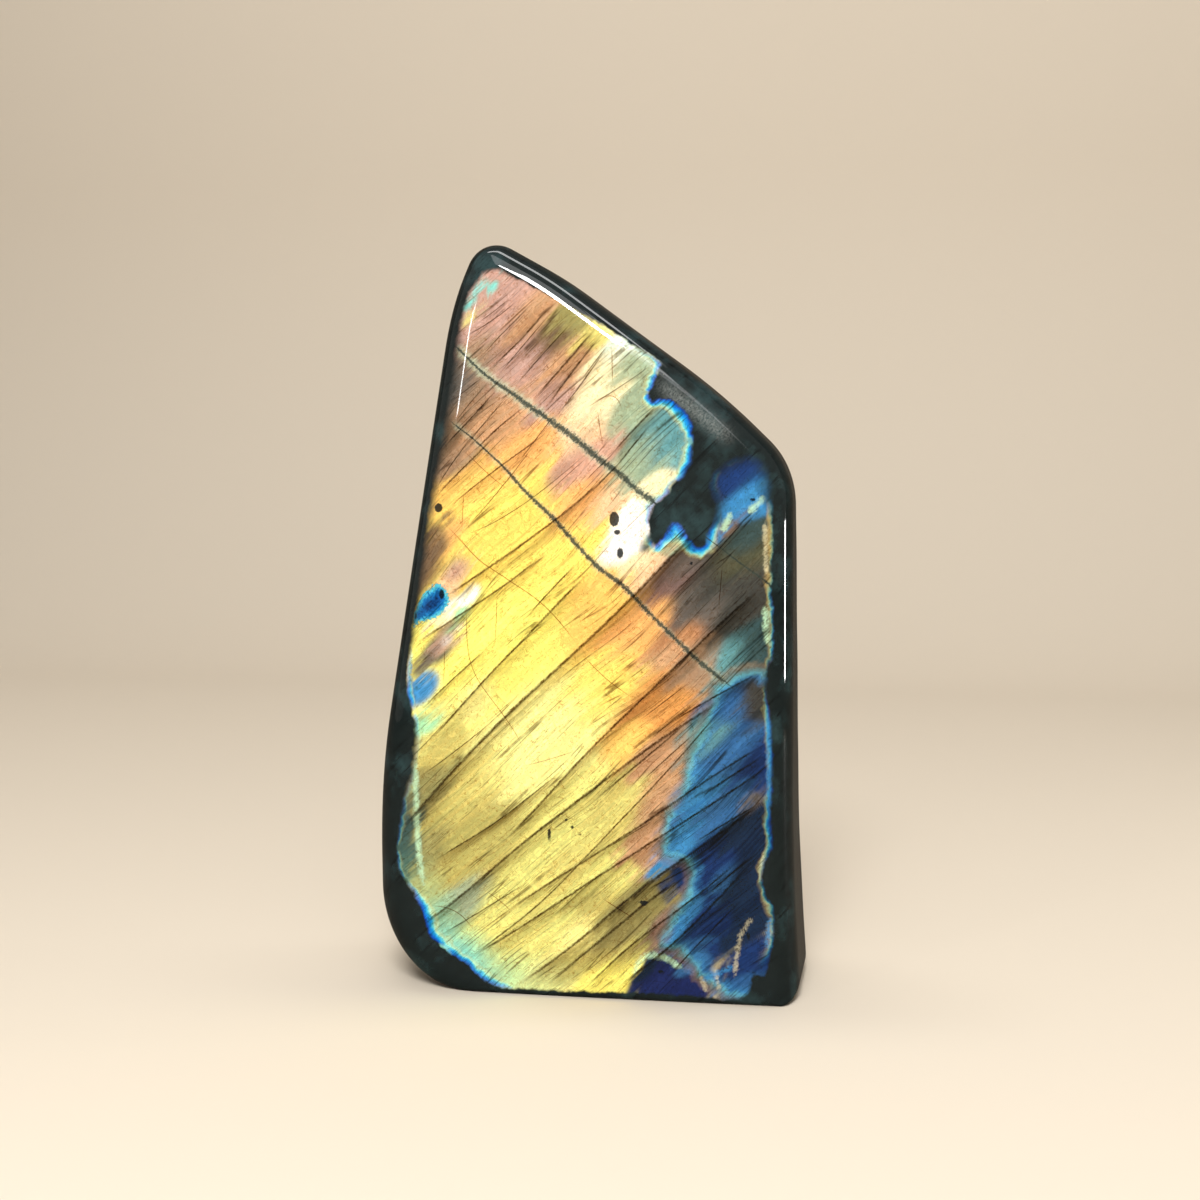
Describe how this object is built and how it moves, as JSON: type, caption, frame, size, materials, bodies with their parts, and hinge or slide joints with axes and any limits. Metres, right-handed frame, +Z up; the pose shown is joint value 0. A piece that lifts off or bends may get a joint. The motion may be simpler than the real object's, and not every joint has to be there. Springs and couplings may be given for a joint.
{
  "type": "labradorite freeform",
  "caption": "Upright polished freeform of labradorite with a slanting top, softly rounded edges and a flat cut base to stand on.",
  "frame": {"origin": "middle of the bounding box in plan, at the level of the cut base", "axes": "+Z up from the base to the tip, -Y out of the broad polished face, +X to the right when looking at that face"},
  "size_m": [0.0866, 0.0456, 0.15],
  "materials": {
    "polished_labradorite": "polished"
  },
  "bodies": {
    "root": {"stone": "polished_labradorite"}
  },
  "joints": []
}
